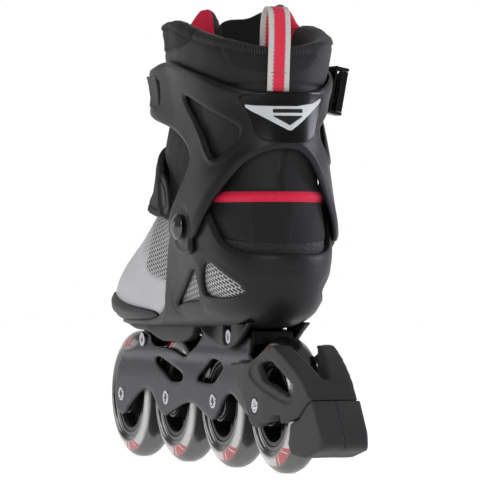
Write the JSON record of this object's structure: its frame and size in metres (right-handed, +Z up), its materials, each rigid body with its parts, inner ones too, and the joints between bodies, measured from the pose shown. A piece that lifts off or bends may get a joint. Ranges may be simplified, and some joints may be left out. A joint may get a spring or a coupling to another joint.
{
  "type": "inline skate",
  "caption": "Right inline skate: boot with tilting cuff, buckle and straps on an in-line frame with ball-bearing wheels and a heel brake.",
  "frame": {"origin": "on the floor under the centre of the bounding box", "axes": "+Y from the toe to the heel brake, +X to the inner side of the foot, +Z up"},
  "size_m": [0.126, 0.4236, 0.3175],
  "materials": {
    "tyre": "smoky translucent urethane, polished",
    "wheel_core": "black moulded nylon",
    "steel": "bright zinc plated",
    "spacer": "plain turned",
    "frame": "dark satin anodised",
    "brake_plastic": "dark grey moulded, fine grain",
    "brake_rubber": "dark grey rubber",
    "shell": "charcoal moulded, fine grain",
    "cuff": "charcoal moulded, fine grain",
    "gloss_panel": "gloss black",
    "badge": "silver painted, plain",
    "pivot": "dark polished",
    "bumper": "dark grey rubber",
    "knit": "grey knit with dark slits",
    "ankle_mesh": "black spacer mesh",
    "liner": "black padded mesh with red lining in front",
    "insole": "black felt",
    "strap": "black padded strap with hook and loop",
    "lace": "dark grey round lace",
    "webbing": "red webbing with pale edges",
    "strap_plastic": "dark grey flexible plastic",
    "buckle_plastic": "black, semi gloss",
    "latch": "grey, satin"
  },
  "bodies": {
    "root": {"wheel_1_spacer": "spacer", "wheel_1_axle": "steel", "wheel_2_spacer": "spacer", "wheel_2_axle": "steel", "wheel_3_spacer": "spacer", "wheel_3_axle": "steel", "wheel_4_spacer": "spacer", "wheel_4_axle": "steel", "frame": "frame", "front_screw_inner": "steel", "front_screw_outer": "steel", "rear_screw_inner": "steel", "rear_screw_outer": "steel", "brake_bracket": "brake_plastic", "brake_pad": "brake_rubber", "brake_screw": "steel", "shell": "shell", "cuff_pivot_inner": "pivot", "cuff_pivot_outer": "pivot", "toe_bumper": "bumper", "boot_upper": "knit", "ankle_gusset": "ankle_mesh", "insole": "insole", "instep_strap": "strap", "lace": "lace"},
    "cuff": {"cuff": "cuff", "cuff_rear_panel": "gloss_panel", "cuff_badge": "badge", "shaft_liner": "liner", "collar": "liner", "tongue": "liner", "pull_loop": "webbing", "ladder_strap": "strap_plastic", "buckle_base": "buckle_plastic", "buckle_lever_pin": "steel", "buckle_latch_pin": "steel"},
    "buckle_lever": {"buckle_lever": "buckle_plastic"},
    "buckle_latch": {"buckle_latch": "latch"},
    "wheel_1": {"wheel_1_tyre": "tyre", "wheel_1_hub": "wheel_core", "wheel_1_bearing_inner": "steel", "wheel_1_bearing_outer": "steel"},
    "wheel_2": {"wheel_2_tyre": "tyre", "wheel_2_hub": "wheel_core", "wheel_2_bearing_inner": "steel", "wheel_2_bearing_outer": "steel"},
    "wheel_3": {"wheel_3_tyre": "tyre", "wheel_3_hub": "wheel_core", "wheel_3_bearing_inner": "steel", "wheel_3_bearing_outer": "steel"},
    "wheel_4": {"wheel_4_tyre": "tyre", "wheel_4_hub": "wheel_core", "wheel_4_bearing_inner": "steel", "wheel_4_bearing_outer": "steel"}
  },
  "joints": [
    {"name": "wheel_1_spin", "type": "hinge", "parent": "root", "child": "wheel_1", "pos_m": [0.00478, -0.16675, 0.04454], "axis": [1, 0, 0], "continuous": true},
    {"name": "wheel_2_spin", "type": "hinge", "parent": "root", "child": "wheel_2", "pos_m": [0.00478, -0.07475, 0.04454], "axis": [1, 0, 0], "continuous": true},
    {"name": "wheel_3_spin", "type": "hinge", "parent": "root", "child": "wheel_3", "pos_m": [0.00478, 0.01725, 0.04454], "axis": [1, 0, 0], "continuous": true},
    {"name": "wheel_4_spin", "type": "hinge", "parent": "root", "child": "wheel_4", "pos_m": [0.00478, 0.10925, 0.04454], "axis": [1, 0, 0], "continuous": true},
    {"name": "cuff_tilt", "type": "hinge", "parent": "root", "child": "cuff", "pos_m": [0.00478, 0.04825, 0.16154], "axis": [1, 0, 0], "range_deg": [-3, 10], "stiffness_Nm_per_rad": 12, "deforming": ["ankle_gusset", "instep_strap"]},
    {"name": "buckle_lever_swing", "type": "hinge", "parent": "cuff", "child": "buckle_lever", "pos_m": [-0.05418, 0.05525, 0.25253], "axis": [0.184, 0, -0.9829], "range_deg": [0, 70], "stiffness_Nm_per_rad": 0.05},
    {"name": "buckle_latch_press", "type": "hinge", "parent": "cuff", "child": "buckle_latch", "pos_m": [-0.05516, 0.02825, 0.25235], "axis": [-0.184, 0, 0.9829], "range_deg": [0, 8], "stiffness_Nm_per_rad": 0.05}
  ]
}
